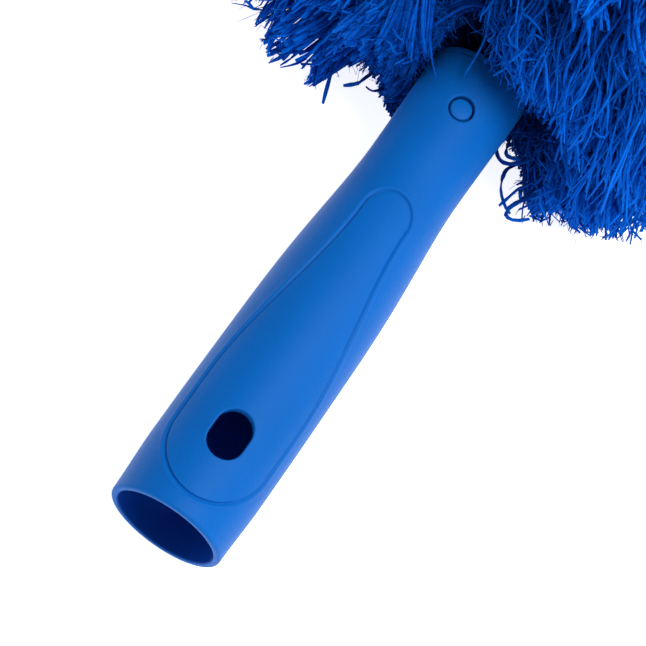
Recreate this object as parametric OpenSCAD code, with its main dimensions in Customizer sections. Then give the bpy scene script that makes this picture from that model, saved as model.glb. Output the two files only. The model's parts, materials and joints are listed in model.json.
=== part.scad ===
// Wheel brush with a yarn head on a twisted wire core, held in a moulded socket handle.
// The brush lies on the floor: it rests on its flattened yarn and on the rim of the pole socket.

/* [Handle] */
// Length of the moulded handle
handle_len = 159; // [132:1:195]
// Radius of the pole socket's bore
socket_r = 14.9; // [12.4:0.1:18]
// Depth of the pole socket
socket_depth = 70; // [58:1:84]
// Wall around the pole socket
socket_wall = 2.75; // [2.2:0.05:3.3]
// Web that stops the pole
web = 3; // [2.5:0.1:4]
// Radius of the bore that holds the head plug
neck_bore_r = 12; // [10:0.1:14.4]
// Wall around the head plug
neck_wall = 2.4; // [2:0.1:3]
// How far the narrowest place lies below the upper end
waist_back = 34; // [28:1:40]
// Gain in radius from the narrowest place to the upper end
flare = 0.4; // [0.3:0.1:1]
// How much smaller the mouth is in radius than the grip
mouth_draw = 0.6; // [0.4:0.1:0.8]
// Rounding of the mouth's lip
lip_round = 0.9; // [0.5:0.1:1]

/* [Panel and holes] */
// Where the teardrop panel starts, from the mouth
panel_start = 5.8; // [4:0.1:8]
// Where the teardrop panel ends, from the mouth
panel_end = 111.2; // [95:0.1:112]
// Half-width of the panel's wide end
panel_wide = 14.5; // [12:0.1:16]
// Half-width of the panel's narrow end
panel_narrow = 7; // [6:0.1:9]
// Length of the panel's round wide end
panel_round = 17.9; // [15:0.1:21]
// Depth of the panel below the grip
panel_depth = 0.4; // [0.3:0.05:0.5]
// Where the pole's lock hole is, from the mouth
lock_hole_s = 25.5; // [21:0.1:30]
// Width of the lock hole
lock_hole_w = 10.8; // [9:0.1:12.5]
// Length of the lock hole along the handle
lock_hole_l = 14.7; // [12.8:0.1:17]

/* [Head plug and lock button] */
// Length of the plug inside the handle
plug_len = 33; // [28:1:39]
// Thickness of the plug's flange
plug_flange = 1.85; // [1.5:0.05:2.2]
// Gap between the plug and the handle's bore
plug_gap = 0.1; // [0.05:0.05:0.2]
// Seam between the handle's end and the plug's flange
seam = 0.15; // [0.1:0.05:0.3]
// How far the button's centre is below the handle's upper end
button_back = 15.4; // [13:0.1:18]
// Radius of the button's head
button_r = 3.15; // [2.6:0.05:3.8]
// Gap around the button's head in the handle's wall
button_gap = 0.65; // [0.4:0.05:0.9]
// How far the button's face lies below the handle's outside
button_recess = 0.35; // [0.2:0.05:0.5]
// Radius of the button's inner collar
collar_r = 4.6; // [4.2:0.05:5.5]
// Thickness of the button's inner collar
collar_t = 1.3; // [1.1:0.1:1.6]
// Radius of the spring's coil, to the middle of its wire
spring_r = 2.3; // [2:0.05:2.6]
// Radius of the spring's wire
spring_wire_r = 0.25; // [0.2:0.01:0.3]
// Turns of the spring
spring_turns = 5; // [4:1:6]

/* [Core] */
// Radius of one core wire
wire_r = 1.2; // [1:0.05:1.44]
// Advance of the twisted core in one turn
wire_pitch = 18; // [15:0.5:22]
// Length of the crimp sleeve
sleeve_len = 9; // [7.5:0.1:11]
// Wall of the crimp sleeve
sleeve_wall = 1.7; // [1.4:0.1:2]
// Radius of the cap on the wires' far end
tip_cap_r = 6; // [5:0.1:7.2]
// How deep the wires reach into the tip cap
tip_cap_depth = 8; // [6.5:0.1:10]

/* [Yarn head] */
// Radius of the yarn head
head_r = 76; // [63:1:92]
// How far the yarn reaches back over the handle's upper end
head_back = 8; // [6:0.5:10]
// How far the yarn reaches beyond the handle's upper end
head_front = 127; // [110:1:152]
// How far the widest place is beyond the handle's upper end
head_mid = 49; // [41:1:59]
// Height of the core above the floor at the widest place, where the yarn is flattened
rest_depth = 46; // [38:1:56]
// How far the yarn reaches beyond the tip cap
tip_cover = 22; // [18:1:27]
// Radius to which the yarn leaves the core straight before it fans out
knee_r = 20; // [19:0.5:24]

/* [Hidden] */
YARN_TURNS = 12;
function yarn_name(i) = str("yarn_turn_", i < 10 ? "0" : "", i);
$fn = 96;

// Clearances inside the head and at the spring's ends, and how far a cut passes through a face
fit_gap = 0.1;
spring_gap = 0.02;
cut = 1;

// Colours
moulded_blue = [0.04, 0.36, 0.74];
yarn_blue = [0.0, 0.26, 0.72];
steel = [0.72, 0.73, 0.75];

// Handle: radii and places along its axis, from the mouth
grip_r = socket_r + socket_wall;
waist_r = neck_bore_r + neck_wall;
waist_s = handle_len - waist_back;
grip_relief = 0.35;
relief_from = 30;
relief_to = 80;
taper_from = 60;
taper_power = 1.4;
mouth_run = 20;
lip_inner = lip_round * 0.7;
outline_steps = 28;

// Teardrop panel: its widest and narrow-end places, and where its flanks start to close in
panel_widest_s = panel_start + panel_round;
panel_narrow_s = panel_end - panel_narrow;
flank_run = 15;
flank_s = panel_widest_s + flank_run;
panel_margin = 8;
panel_skin = 3;

// Plug, button and spring
plug_r = neck_bore_r - plug_gap;
plug_start = handle_len - plug_len;
plug_end = handle_len + seam + plug_flange;
flange_round = 0.6;
plug_chamfer = 0.5;
button_s = handle_len - button_back;
core_r = 2 * wire_r;
core_bore_r = core_r + fit_gap;
pocket_r = collar_r + fit_gap;
pocket_wall = 1.5;
pocket_floor = core_bore_r + pocket_wall;
collar_top = sqrt(pow(neck_bore_r, 2) - pow(collar_r, 2)) - fit_gap;
collar_base = collar_top - collar_t;
button_top = outer_r(button_s) - button_recess;
button_dome = button_top - sqrt(pow(button_top, 2) - pow(button_r, 2));
spigot_r = spring_r - spring_wire_r - fit_gap;
spigot_len = 1.6;

// Core
sleeve_r = core_bore_r + sleeve_wall;
sleeve_inset = 1;
wire_inset = 0.5;
sleeve_end = plug_start + sleeve_len + sleeve_inset;
wire_start = plug_start + wire_inset;
head_tip = handle_len + head_front;
wire_end = head_tip - tip_cover;
cap_start = wire_end - tip_cap_depth;
cap_front = 2;
cap_end = wire_end + cap_front;
cap_round = 2.5;

// Yarn head: two half superellipses that meet at the widest place
head_s = handle_len + head_mid;
rear_reach = head_mid + head_back;
front_reach = head_front - head_mid;
rear_power = 4;
front_power = 2.4;
arc_steps = 4;
yarn_start = plug_end + fit_gap;
yarn_stop = cap_start - fit_gap;
handle_clear = outer_r(handle_len) + 0.5;
rear_angle = 180 - asin(pow(handle_clear / head_r, rear_power / 2));
first_angle = 152;

// Resting pose: the floor touches the round lip below the mouth and the flattened yarn
lip_mid_r = outer_r(lip_round) - lip_round;
tilt = atan((rest_depth - lip_mid_r - lip_round) / (head_s - lip_round));
low_point = lip_round * sin(tilt) - lip_mid_r * cos(tilt) - lip_round;
rear_most = lip_round * cos(tilt) - lip_mid_r * sin(tilt) - lip_round;
front_most = max([for (t = [0 : 2 : 90])
    let (p = head_outline(t)) p[1] * cos(tilt) + p[0] * sin(tilt)]);

function smooth(t) = let (u = min(1, max(0, t))) u * u * (3 - 2 * u);

// Outer radius of the handle at a distance from the mouth
function outer_r(s) =
    grip_r
    - mouth_draw * (1 - smooth(s / mouth_run))
    - grip_relief * smooth((s - relief_from) / (relief_to - relief_from))
    - (grip_r - grip_relief - waist_r)
        * smooth(pow(max(0, s - taper_from) / (waist_s - taper_from), taper_power))
    + flare * smooth((s - waist_s) / waist_back);

// Points of an arc, counted in degrees
function arc(centre, radius, from, to, steps) =
    [for (i = [0 : steps]) let (a = from + (to - from) * i / steps)
        centre + radius * [cos(a), sin(a)]];

// Outline of the handle's outside, from the lip to the upper end, as [radius, distance]
function handle_outline() =
    [for (i = [0 : outline_steps])
        let (s = lip_round + (handle_len - lip_round) * i / outline_steps) [outer_r(s), s]];

// Half-width of the teardrop panel at a distance from the mouth
function panel_half(s) =
    s < panel_widest_s
    ? panel_wide * sqrt(max(0, 1 - pow((panel_widest_s - s) / panel_round, 2)))
    : s > panel_narrow_s
    ? sqrt(max(0, pow(panel_narrow, 2) - pow(s - panel_narrow_s, 2)))
    : panel_narrow + (panel_wide - panel_narrow)
        * (1 - smooth((s - flank_s) / (panel_narrow_s - flank_s)));

// Distances at which the panel's edge is set, closer together at its round ends
function panel_stations() =
    concat(
        [for (a = [0 : 15 : 75]) panel_widest_s - panel_round * cos(a)],
        [for (i = [0 : 8]) panel_widest_s + (panel_narrow_s - panel_widest_s) * i / 8],
        [for (a = [18 : 18 : 90]) panel_narrow_s + panel_narrow * sin(a)]);

// Outline of the yarn head at an angle, 0 at the far tip, as [radius, distance]
function head_outline(t) =
    let (power = t < 90 ? front_power : rear_power)
    let (reach = t < 90 ? front_reach : -rear_reach)
    [head_r * pow(sin(t), 2 / power), head_s + reach * pow(abs(cos(t)), 2 / power)];

// Angle on the yarn head's outline where the border after turn i meets it
function border_angle(i) =
    i == 0 ? rear_angle : first_angle * (1 - (i - 1) / (YARN_TURNS - 1));

// Place on the core where the border after turn i starts
function border_s(i) = yarn_start + (yarn_stop - yarn_start) * i / YARN_TURNS;

// Border between two turns of yarn, from the core outward
function border(i) =
    i == 0
    ? [[core_bore_r, yarn_start], [handle_clear, yarn_start], head_outline(rear_angle)]
    : i == YARN_TURNS
    ? [[core_bore_r, yarn_stop], [tip_cap_r + fit_gap, yarn_stop],
       [tip_cap_r + fit_gap, cap_end + fit_gap], [0, cap_end + fit_gap], [0, head_tip]]
    : [[core_bore_r, border_s(i)], [knee_r, border_s(i)], head_outline(border_angle(i))];

// Outline of the yarn held by turn i
function yarn_outline(i) =
    let (a = border_angle(i - 1), b = border_angle(i), near = border(i - 1), far = border(i))
    concat(
        near,
        [for (k = [1 : arc_steps - 1]) head_outline(a + (b - a) * k / arc_steps)],
        [for (k = [len(far) - 1 : -1 : 0]) far[k]]);

// Ring of points around a helix about Z, square to its wire
function helix_ring(radius, pitch, turn, wire, sides) =
    let (a = 360 * turn, way = [-2 * PI * radius * sin(a), 2 * PI * radius * cos(a), pitch])
    let (out = [cos(a), sin(a), 0], side = cross(way / norm(way), out))
    [for (k = [0 : sides - 1]) let (b = 360 * k / sides)
        radius * out + [0, 0, pitch * turn] + wire * (cos(b) * out + sin(b) * side)];

// Wire wound as a helix about Z, from z = 0 upward
module helix(radius, pitch, length, wire, sides, per_turn) {
    rings = ceil(length / pitch * per_turn);
    points = [for (i = [0 : rings])
        each helix_ring(radius, pitch, length / pitch * i / rings, wire, sides)];
    walls = [for (i = [0 : rings - 1], k = [0 : sides - 1])
        let (n = (k + 1) % sides, low = i * sides, high = low + sides)
            each [[low + k, low + n, high + n], [low + k, high + n, high + k]]];
    first = [for (k = [sides - 1 : -1 : 0]) k];
    last = [for (k = [0 : sides - 1]) rings * sides + k];
    polyhedron(points, concat([first, last], walls));
}

// Turns what stands on Z to lie along the brush's axis
module along_axis() {
    rotate([0, 90, 0]) children();
}

// Solid of revolution about the brush's axis, from points given as [radius, distance]
module revolve(points) {
    along_axis() rotate_extrude() polygon(points);
}

// Puts the brush into its resting pose on the floor, centred on the origin
module resting() {
    translate([-(rear_most + front_most) / 2, 0, -low_point]) rotate([0, -tilt, 0]) children();
}

module handle_blank() {
    revolve(concat(
        [[0, socket_depth], [socket_r, socket_depth]],
        arc([socket_r + lip_inner, lip_inner], lip_inner, 180, 270, 4),
        arc([lip_mid_r, lip_round], lip_round, 270, 345, 5),
        handle_outline(),
        [[neck_bore_r, handle_len], [neck_bore_r, socket_depth + web], [0, socket_depth + web]]));
}

// The thin layer that is taken off inside the teardrop
module panel_layer() {
    band = [for (p = handle_outline()) if (p[1] < panel_end + panel_margin) p];
    intersection() {
        revolve(concat(
            [for (p = band) p - [panel_depth, 0]],
            [for (i = [len(band) - 1 : -1 : 0]) band[i] + [panel_skin, 0]]));
        linear_extrude(grip_r + panel_skin)
            polygon(concat(
                [for (s = panel_stations()) [s, panel_half(s)]],
                [for (i = [len(panel_stations()) - 2 : -1 : 1])
                    [panel_stations()[i], -panel_half(panel_stations()[i])]]));
    }
}

module lock_hole() {
    half = (lock_hole_l - lock_hole_w) / 2;
    translate([lock_hole_s, 0, 0]) {
        for (side = [-1, 1])
            translate([side * half, 0, 0]) cylinder(r = lock_hole_w / 2, h = grip_r + cut);
        translate([-half, -lock_hole_w / 2, 0]) cube([2 * half, lock_hole_w, grip_r + cut]);
    }
}

module handle() {
    color(moulded_blue) resting() difference() {
        handle_blank();
        panel_layer();
        lock_hole();
        translate([button_s, 0, 0]) cylinder(r = button_r + button_gap, h = grip_r + cut);
    }
}

module head_plug() {
    flange_r = outer_r(handle_len);
    color(moulded_blue) resting() difference() {
        revolve(concat(
            [[core_bore_r, sleeve_end], [sleeve_r + fit_gap, sleeve_end],
             [sleeve_r + fit_gap, plug_start], [plug_r - plug_chamfer, plug_start],
             [plug_r, plug_start + plug_chamfer], [plug_r, handle_len + seam],
             [flange_r, handle_len + seam]],
            arc([flange_r - flange_round, plug_end - flange_round], flange_round, 0, 90, 4),
            [[core_bore_r, plug_end]]));
        translate([button_s, 0, pocket_floor]) cylinder(r = pocket_r, h = plug_r);
    }
}

module lock_button() {
    dome_r = (pow(button_r, 2) + pow(button_dome, 2)) / (2 * button_dome);
    dome_half = asin(button_r / dome_r);
    color(moulded_blue) resting() translate([button_s, 0, 0]) rotate_extrude()
        polygon(concat(
            [[0, collar_base - spigot_len], [spigot_r, collar_base - spigot_len],
             [spigot_r, collar_base], [collar_r, collar_base], [collar_r, collar_top],
             [button_r, collar_top]],
            arc([0, button_top - dome_r], dome_r, 90 - dome_half, 90, 6)));
}

module button_spring() {
    end_gap = spring_wire_r + spring_gap;
    free_len = collar_base - pocket_floor - 2 * end_gap;
    color(steel) resting() translate([button_s, 0, pocket_floor + end_gap])
        helix(spring_r, free_len / spring_turns, free_len, spring_wire_r, 6, 12);
}

module core_wire(phase) {
    color(steel) resting() translate([wire_start, 0, 0]) along_axis() rotate([0, 0, phase])
        helix(wire_r, wire_pitch, wire_end - wire_start, wire_r, 8, 12);
}

module crimp_sleeve() {
    color(steel) resting() revolve([
        [core_bore_r, sleeve_end - sleeve_len], [sleeve_r, sleeve_end - sleeve_len],
        [sleeve_r, sleeve_end], [core_bore_r, sleeve_end]]);
}

module tip_cap() {
    color(moulded_blue) resting() revolve(concat(
        [[core_bore_r, wire_end], [core_bore_r, cap_start], [tip_cap_r, cap_start]],
        arc([tip_cap_r - cap_round, cap_end - cap_round], cap_round, 0, 90, 6),
        [[0, cap_end], [0, wire_end]]));
}

module yarn_turn(i) {
    floor_size = 4 * (handle_len + head_r);
    color(yarn_blue) difference() {
        resting() revolve(yarn_outline(i));
        translate([-floor_size / 2, -floor_size / 2, -floor_size]) cube(floor_size);
    }
}

handle();
head_plug();
lock_button();
button_spring();
core_wire(0);  // core_wire_a
core_wire(180);  // core_wire_b
crimp_sleeve();
tip_cap();
for (i = [1 : YARN_TURNS]) {
    yarn_turn(i);
}
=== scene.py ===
"""A soft yarn wheel brush that lies on a pale floor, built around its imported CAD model."""

import json
import math

import bmesh
import bpy
import numpy as np
from mathutils import Matrix, Vector
from mathutils.geometry import delaunay_2d_cdt


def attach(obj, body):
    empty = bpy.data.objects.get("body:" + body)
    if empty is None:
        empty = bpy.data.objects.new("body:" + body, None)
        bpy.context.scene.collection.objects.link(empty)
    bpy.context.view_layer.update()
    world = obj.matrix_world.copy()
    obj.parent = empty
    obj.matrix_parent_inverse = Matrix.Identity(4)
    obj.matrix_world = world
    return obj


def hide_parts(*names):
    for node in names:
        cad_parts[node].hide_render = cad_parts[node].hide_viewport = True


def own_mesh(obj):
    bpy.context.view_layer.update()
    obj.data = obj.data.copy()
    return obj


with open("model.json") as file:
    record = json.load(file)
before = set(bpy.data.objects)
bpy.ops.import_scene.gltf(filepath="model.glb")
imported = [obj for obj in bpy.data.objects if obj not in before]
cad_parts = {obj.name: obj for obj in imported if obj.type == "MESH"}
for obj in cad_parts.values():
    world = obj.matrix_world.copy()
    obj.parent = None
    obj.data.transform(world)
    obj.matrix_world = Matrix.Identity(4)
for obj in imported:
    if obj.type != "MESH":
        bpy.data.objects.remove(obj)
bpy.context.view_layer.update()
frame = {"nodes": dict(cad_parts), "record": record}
MM = 0.001
BODY, BUTTON = "handle_and_head", "button"

# The brush's own axes, from the mounts: the socket points out of the mouth, the lock hole points up
mounts = {m["name"]: m for m in frame["record"]["mounts"]}
AXIS = -Vector(mounts["pole_socket"]["axis"]).normalized()
FRONT = Vector(mounts["lock_hole"]["axis"]).normalized()
SIDE = FRONT.cross(AXIS)
SOCKET_MID = 35 * MM
MOUTH = Vector(mounts["pole_socket"]["pos_m"]) - AXIS * SOCKET_MID
TO_WORLD = np.array([AXIS, SIDE, FRONT])

# Sizes in millimetres, as the CAD model has them. An S is a distance along the axis from the mouth
HANDLE_LEN = 159.0
SOCKET_R = mounts["pole_socket"]["dims"]["r_mm"]
SOCKET_DEPTH = 70.0
WEB = 3.0
GRIP_R = SOCKET_R + 2.75
NECK_BORE_R = 12.0
WAIST_R = NECK_BORE_R + 2.4
WAIST_BACK = 34.0
FLARE = 0.4
MOUTH_DRAW, MOUTH_RUN = 0.6, 20
RELIEF, RELIEF_FROM, RELIEF_RUN = 0.35, 30, 50
TAPER_FROM, TAPER_POWER = 60, 1.4
LIP, LIP_IN = 0.9, 0.63
PLUG_END = 161.0
HOLE_S, HOLE_W, HOLE_L = 25.5, 10.8, 14.7
BUTTON_S, BUTTON_R, BUTTON_GAP = HANDLE_LEN - 15.4, 3.15, 0.65
BUTTON_RECESS = 0.35
POCKET_FLOOR, COLLAR_BASE, COLLAR_T, COLLAR_R = 4.0, 9.68, 1.3, 4.6
SPRING_R, SPRING_WIRE_R, SPRING_TURNS = 2.3, 0.25, 5
FIT_GAP, SPRING_GAP = 0.1, 0.02
SPIGOT_R, SPIGOT_LEN = SPRING_R - SPRING_WIRE_R - FIT_GAP, 1.6
HEAD_R, HEAD_S, HEAD_TIP = 76.0, HANDLE_LEN + 49.0, HANDLE_LEN + 127.0
HEAD_REAR = HANDLE_LEN - 8.0
TIP_POWER, REAR_POWER = 2.4, 4.0
YARN_FROM, YARN_TO = 162.0, 255.0
TURNS = 12


def place(points):
    """Turns points in the brush's own frame, in millimetres, into the row frame, in metres."""
    return np.asarray(points, float) @ TO_WORLD * MM + np.array(MOUTH)


def unplace(points):
    """The reverse of place."""
    return (np.asarray(points, float) - np.array(MOUTH)) / MM @ TO_WORLD.T


def smooth_step(t):
    t = np.clip(t, 0, 1)
    return t * t * (3 - 2 * t)


# ------------ camera, light and floor

# Camera: the brush's axes and mouth as the camera sees them (x right, y up, z back)
SEEN_AXIS = Vector((0.531, 0.750, -0.394)).normalized()
SEEN_FRONT = Vector((0.2276, 0.3215, 0.919)).normalized()
SEEN_MOUTH = Vector((-41.46, -53.53, -914.0)) * MM
LENS = 194.7
CLIP = (0.05, 20)

# Lamps: name, direction from the brush (camera's right, up, back), distance, size, power
LAMPS = (("key", (0.55, 0.15, 0.95), 0.9, 0.5, 7.5),
         ("side", (1.0, 0.1, 0.3), 1.0, 0.8, 3.5))
LAMP_AIM = Vector((0.02, 0, 0.05))
WORLD_STRENGTH = 0.42
FLOOR_SIZE, FLOOR_COLOUR, FLOOR_ROUGHNESS, FLOOR_GLOW = 12, (0.92, 0.92, 0.92), 0.9, 0.85


def columns(*vectors):
    """A matrix with these vectors as its columns."""
    return Matrix(vectors).transposed()


def make_camera():
    """Sets the camera up, and returns the turn from its axes to the row frame's."""
    seen = columns(SEEN_AXIS, SEEN_FRONT, SEEN_AXIS.cross(SEEN_FRONT))
    world = columns(AXIS, FRONT, AXIS.cross(FRONT))
    turn = world @ seen.inverted()
    data = bpy.data.cameras.new("camera")
    data.lens = LENS
    data.clip_start, data.clip_end = CLIP
    camera = bpy.data.objects.new("camera", data)
    camera.matrix_world = Matrix.Translation(MOUTH - turn @ SEEN_MOUTH) @ turn.to_4x4()
    bpy.context.collection.objects.link(camera)
    bpy.context.scene.camera = camera
    return turn


def make_lamp(name, direction, distance, size, power):
    data = bpy.data.lights.new(name, "AREA")
    data.shape = "DISK"
    data.size = size
    data.energy = power
    lamp = bpy.data.objects.new(name, data)
    lamp.location = LAMP_AIM + direction.normalized() * distance
    lamp.rotation_euler = (LAMP_AIM - lamp.location).to_track_quat("-Z", "Y").to_euler()
    bpy.context.collection.objects.link(lamp)


def make_stage(camera_turn):
    bpy.context.scene.view_settings.view_transform = "Standard"
    world = bpy.data.worlds.new("studio")
    world.use_nodes = True
    background = world.node_tree.nodes["Background"]
    background.inputs["Color"].default_value = (1, 1, 1, 1)
    background.inputs["Strength"].default_value = WORLD_STRENGTH
    bpy.context.scene.world = world

    bpy.ops.mesh.primitive_plane_add(size=FLOOR_SIZE)
    floor = bpy.context.object
    floor.name = "floor"
    mat, _, shader = new_material("floor_paper", FLOOR_COLOUR, FLOOR_ROUGHNESS)
    shader.inputs["Emission Color"].default_value = (1, 1, 1, 1)
    shader.inputs["Emission Strength"].default_value = FLOOR_GLOW
    floor.data.materials.append(mat)

    for name, direction, distance, size, power in LAMPS:
        make_lamp(name, camera_turn @ Vector(direction), distance, size, power)


# ------------ materials

MOULDED_BLUE, BUTTON_BLUE = (0.001, 0.105, 0.42), (0.002, 0.115, 0.44)
STEEL, SLEEVE_STEEL, SPRING_STEEL = (0.62, 0.63, 0.65), (0.70, 0.71, 0.72), (0.50, 0.51, 0.53)
PLASTIC_ROUGHNESS, PLASTIC_SPECULAR = 0.47, 0.07
DRIFT_SCALE, GRAIN_SCALE, GRAIN_DEPTH = 38, 2200, 0.00016
INSIDE_SHADE = [(0, (0.2, 0.42, 0.75)), (1, (1, 1, 1))]
MARK_SCALE, MARK_DEPTH = 900, 0.00005
VECTOR, SCALAR = "ShaderNodeVectorMath", "ShaderNodeMath"

# The yarn's colour from root to tip, dark at the root with dye depth and painted shade for the yarn's
# own shadow, and what each strand's tone and the mottle multiply it by
YARN_DYE_AND_SHADE = [(0.0, (0.0, 0.003, 0.03)), (0.35, (0.0, 0.022, 0.18)),
                (0.7, (0.0003, 0.085, 0.50)), (1.0, (0.0006, 0.130, 0.70))]
STRAND_TONES = [(0.0, (0.62, 0.66, 0.78)), (1.0, (1.3, 1.22, 1.12))]
MOTTLE_TONES = [(0.3, (0.6, 0.64, 0.74)), (0.65, (1.12, 1.1, 1.06))]
TONES, MOTTLES, MOTTLES_ACROSS, PLY_TURNS = 32, 38, 6, 26
PLY_DEPTH, FIBRE_SCALE, FIBRE_DEPTH = 0.00025, 3200, 0.0002
YARN_INPUTS = {"Sheen Weight": 0.25, "Sheen Roughness": 0.4, "Sheen Tint": (0.003, 0.26, 1.0, 1),
               "Specular IOR Level": 0.03}


def new_material(name, colour, roughness):
    """A new material, its node tree and its shader node."""
    mat = bpy.data.materials.new(name)
    mat.use_nodes = True
    tree = mat.node_tree
    shader = tree.nodes["Principled BSDF"]
    shader.inputs["Base Color"].default_value = (*colour, 1)
    shader.inputs["Roughness"].default_value = roughness
    return mat, tree, shader


def add(tree, kind, **settings):
    """A new shader node with some of its settings."""
    node = tree.nodes.new(kind)
    for key, value in settings.items():
        setattr(node, key, value)
    return node


def noise(tree, scale, detail, coords):
    node = add(tree, "ShaderNodeTexNoise")
    node.inputs["Scale"].default_value = scale
    node.inputs["Detail"].default_value = detail
    tree.links.new(coords, node.inputs["Vector"])
    return node.outputs["Fac"]


def ramp(tree, factor, stops):
    """A colour ramp with (position, colour) stops."""
    node = add(tree, "ShaderNodeValToRGB")
    elements = node.color_ramp.elements
    while len(elements) < len(stops):
        elements.new(0.5)
    for element, (position, colour) in zip(elements, stops):
        element.position = position
        element.color = (*colour, 1)
    tree.links.new(factor, node.inputs["Fac"])
    return node.outputs["Color"]


def calculate(tree, kind, operation, value, constant=None):
    """The outputs of a math node with a linked input and, where it takes one, a constant input."""
    node = add(tree, kind, operation=operation)
    tree.links.new(value, node.inputs[0])
    if constant is not None:
        node.inputs[1].default_value = constant
    return node.outputs


def multiply(tree, factor, a, b):
    """Colour a multiplied by colour b, as far as the factor says."""
    node = add(tree, "ShaderNodeMix", data_type="RGBA", blend_type="MULTIPLY")
    if factor is None:
        node.inputs["Factor"].default_value = 1
    else:
        tree.links.new(factor, node.inputs["Factor"])
    tree.links.new(a, node.inputs["A"])
    tree.links.new(b, node.inputs["B"])
    return node.outputs["Result"]


def bump(tree, shader, height, distance, strength, base=None):
    node = add(tree, "ShaderNodeBump")
    node.inputs["Distance"].default_value = distance
    node.inputs["Strength"].default_value = strength
    tree.links.new(height, node.inputs["Height"])
    if base is not None:
        tree.links.new(base, node.inputs["Normal"])
    tree.links.new(node.outputs["Normal"], shader.inputs["Normal"])
    return node.outputs["Normal"]


def inside_shade(tree, coords, tint):
    """Darkens the tint on the pole socket's wall, which little of the light reaches."""
    from_mouth = calculate(tree, VECTOR, "SUBTRACT", coords, MOUTH)[0]
    across = calculate(tree, VECTOR, "CROSS_PRODUCT", from_mouth, AXIS)[0]
    along = calculate(tree, VECTOR, "DOT_PRODUCT", from_mouth, AXIS)["Value"]
    in_socket = calculate(tree, SCALAR, "LESS_THAN", along, (SOCKET_DEPTH + 1) * MM)[0]
    depth = add(tree, "ShaderNodeMapRange")
    tree.links.new(calculate(tree, VECTOR, "LENGTH", across)["Value"], depth.inputs["Value"])
    depth.inputs["From Min"].default_value = (SOCKET_R + 0.02) * MM
    depth.inputs["From Max"].default_value = (SOCKET_R + 0.5) * MM
    shade = ramp(tree, depth.outputs["Result"], INSIDE_SHADE)
    return multiply(tree, in_socket, tint, shade)


def moulded_plastic(name, colour, stipple, shade_inside=False):
    """Blue moulded plastic with faint colour drift and a fine spark-eroded stipple."""
    mat, tree, shader = new_material(name, colour, PLASTIC_ROUGHNESS)
    coords = add(tree, "ShaderNodeTexCoord").outputs["Object"]
    drift = noise(tree, DRIFT_SCALE, 3, coords)
    dark, light = (tuple(c * k for c in colour) for k in (0.95, 1.05))
    tint = ramp(tree, drift, [(0.3, dark), (0.7, light)])
    if shade_inside:
        tint = inside_shade(tree, coords, tint)
    tree.links.new(tint, shader.inputs["Base Color"])
    grain = noise(tree, GRAIN_SCALE, 2, coords)
    bump(tree, shader, grain, GRAIN_DEPTH, stipple)
    shader.inputs["Specular IOR Level"].default_value = PLASTIC_SPECULAR
    return mat


def yarn_material():
    """Cut yarn: each strand's tone comes from its row in the map, and it darkens to the root with dye
    depth and painted shade.
    """
    mat, tree, shader = new_material("yarn_fibre", (0.0, 0.1, 0.5), 0.85)
    split = add(tree, "ShaderNodeSeparateXYZ")
    yarn_map = add(tree, "ShaderNodeUVMap", uv_map="OFBake").outputs["UV"]
    tree.links.new(yarn_map, split.inputs[0])
    along, row = split.outputs["X"], split.outputs["Y"]
    colour = ramp(tree, along, YARN_DYE_AND_SHADE)
    scaled = calculate(tree, SCALAR, "MULTIPLY", row, TONES)[0]
    pick = add(tree, "ShaderNodeTexWhiteNoise", noise_dimensions="1D")
    tree.links.new(calculate(tree, SCALAR, "FLOOR", scaled)[0], pick.inputs["W"])
    tone = ramp(tree, pick.outputs["Value"], STRAND_TONES)
    spread = calculate(tree, VECTOR, "MULTIPLY", yarn_map, (MOTTLES, MOTTLES_ACROSS * TONES, 0))[0]
    mottle = ramp(tree, noise(tree, 1, 2, spread), MOTTLE_TONES)
    for shade in (tone, mottle):
        colour = multiply(tree, None, colour, shade)
    tree.links.new(colour, shader.inputs["Base Color"])
    coords = add(tree, "ShaderNodeTexCoord").outputs["Object"]
    fibres = noise(tree, FIBRE_SCALE, 3, coords)
    plies = add(tree, SCALAR, operation="MULTIPLY_ADD")
    tree.links.new(along, plies.inputs[0])
    plies.inputs[1].default_value = PLY_TURNS
    tree.links.new(scaled, plies.inputs[2])
    wave = calculate(tree, SCALAR, "PINGPONG", plies.outputs[0], 0.5)[0]
    twist = bump(tree, shader, wave, PLY_DEPTH, 0.6)
    bump(tree, shader, fibres, FIBRE_DEPTH, 0.7, twist)
    for socket, value in YARN_INPUTS.items():
        shader.inputs[socket].default_value = value
    return mat


def wire_metal(name, colour, roughness):
    """Bright metal with fine drawing marks."""
    mat, tree, shader = new_material(name, colour, roughness)
    coords = add(tree, "ShaderNodeTexCoord").outputs["Object"]
    marks = noise(tree, MARK_SCALE, 4, coords)
    dark, light = (tuple(c * k for c in colour) for k in (0.8, 1.05))
    tint = ramp(tree, marks, [(0.35, dark), (0.65, light)])
    tree.links.new(tint, shader.inputs["Base Color"])
    bump(tree, shader, marks, MARK_DEPTH, 0.4)
    shader.inputs["Metallic"].default_value = 1
    return mat


# ------------ mesh helpers

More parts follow.
